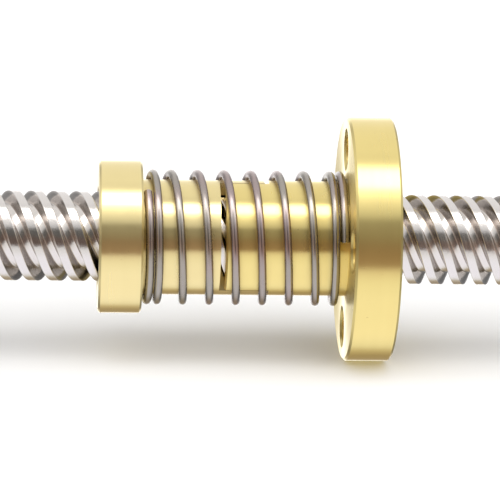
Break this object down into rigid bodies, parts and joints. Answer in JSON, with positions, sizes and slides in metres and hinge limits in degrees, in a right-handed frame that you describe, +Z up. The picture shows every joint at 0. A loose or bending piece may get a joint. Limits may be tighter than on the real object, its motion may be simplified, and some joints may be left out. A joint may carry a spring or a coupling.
{
  "type": "lead screw with anti-backlash nut",
  "caption": "Trapezoidal lead screw with a spring-loaded anti-backlash nut: brass flanged nut, floating brass collar nut and a coil spring between them.",
  "frame": {"origin": "centre of the screw's driven end face, on the screw's axis", "axes": "+X along the screw from its driven end, through the collar nut to the flange; +Z up; -Y is the side with the flanged nut's tab, seen from the front"},
  "size_m": [0.1, 0.0218, 0.0218],
  "materials": {
    "screw_steel": "bright rolled stainless steel",
    "nut_brass": "fine turned brass, semi-bright",
    "collar_brass": "fine turned brass, semi-bright",
    "spring_steel": "drawn spring wire, slightly dull"
  },
  "bodies": {
    "screw": {"lead_screw": "screw_steel"},
    "nut_spring": {"spring": "spring_steel"},
    "nut": {"flanged_nut": "nut_brass"},
    "floating_nut": {"collar_nut": "collar_brass"}
  },
  "joints": [
    {"name": "nut_travel", "type": "slide", "parent": "screw", "child": "nut_spring", "axis": [1, 0, 0], "range_m": [-0.036, 0.036]},
    {"name": "nut_turn", "type": "hinge", "parent": "nut_spring", "child": "nut", "pos_m": [0.05, 0, 0], "axis": [1, 0, 0], "range_deg": [-1621, 1621]},
    {"name": "collar_float", "type": "slide", "parent": "nut", "child": "floating_nut", "axis": [1, 0, 0], "range_m": [0, 0.0001], "stiffness_N_per_m": 340, "springref_m": -0.008, "deforming": ["spring"]}
  ],
  "couplings": [
    {"joint": "nut_turn", "follows": "nut_travel", "rad_per_m": 785.4}
  ]
}
